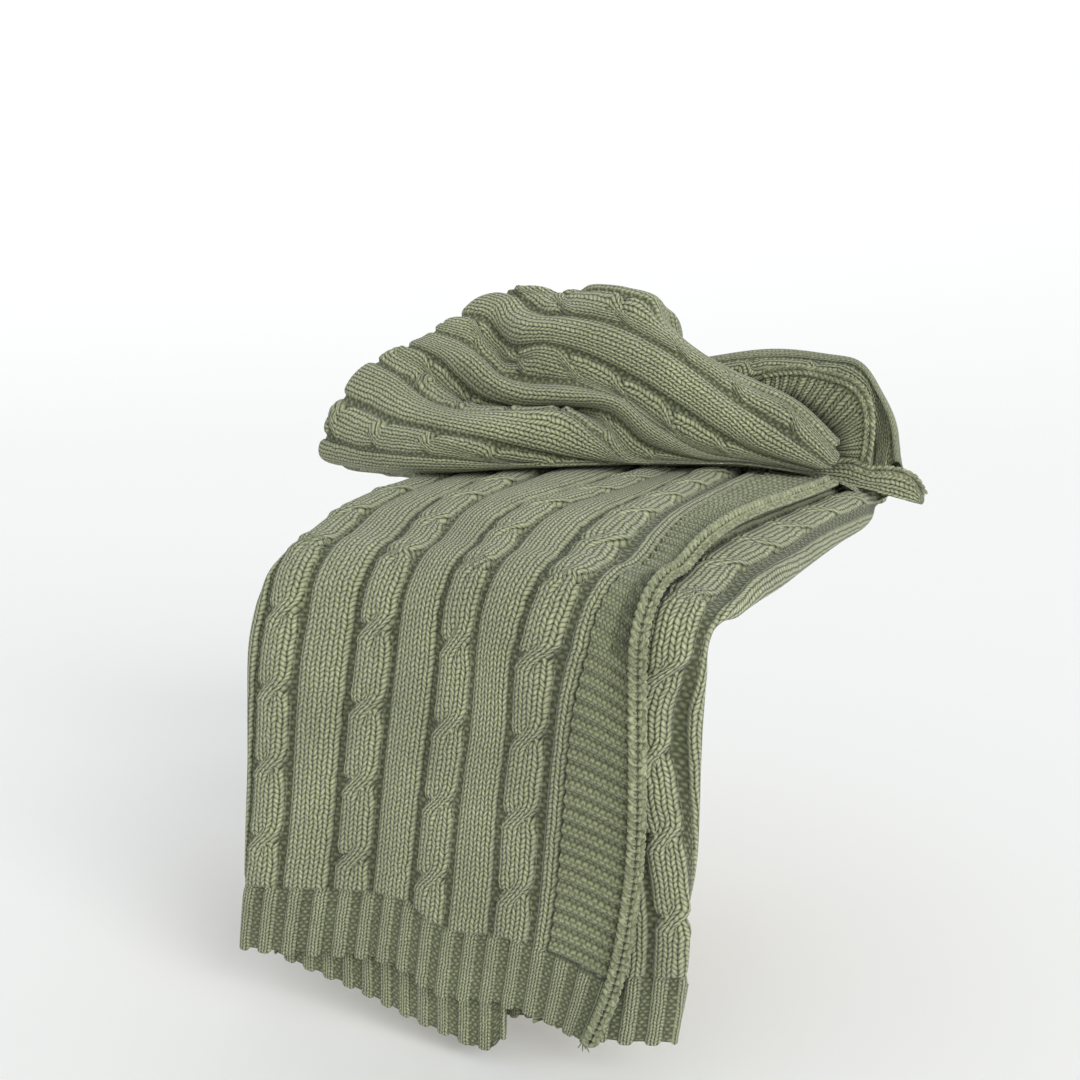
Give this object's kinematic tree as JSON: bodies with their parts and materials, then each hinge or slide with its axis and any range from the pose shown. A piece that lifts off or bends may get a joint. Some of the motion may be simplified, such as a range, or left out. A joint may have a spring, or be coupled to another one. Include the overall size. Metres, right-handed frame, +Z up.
{
  "type": "knit throw blanket on a pedestal table",
  "caption": "Cable-knit throw folded lengthwise over the front edge of a small pedestal table, the rest of it heaped in soft folds on top.",
  "frame": {"origin": "middle of the pedestal's foot, on the floor", "axes": "+Z up; -Y is the side the throw hangs down on; +X is to the right seen from there"},
  "size_m": [0.5728, 0.5297, 0.6424],
  "materials": {
    "knit": "soft matt worsted yarn in cable and rib",
    "wood": "plain satin"
  },
  "bodies": {
    "root": {"knit_throw": "knit", "table_top": "wood", "pedestal_stem": "wood", "pedestal_foot": "wood"}
  },
  "joints": []
}
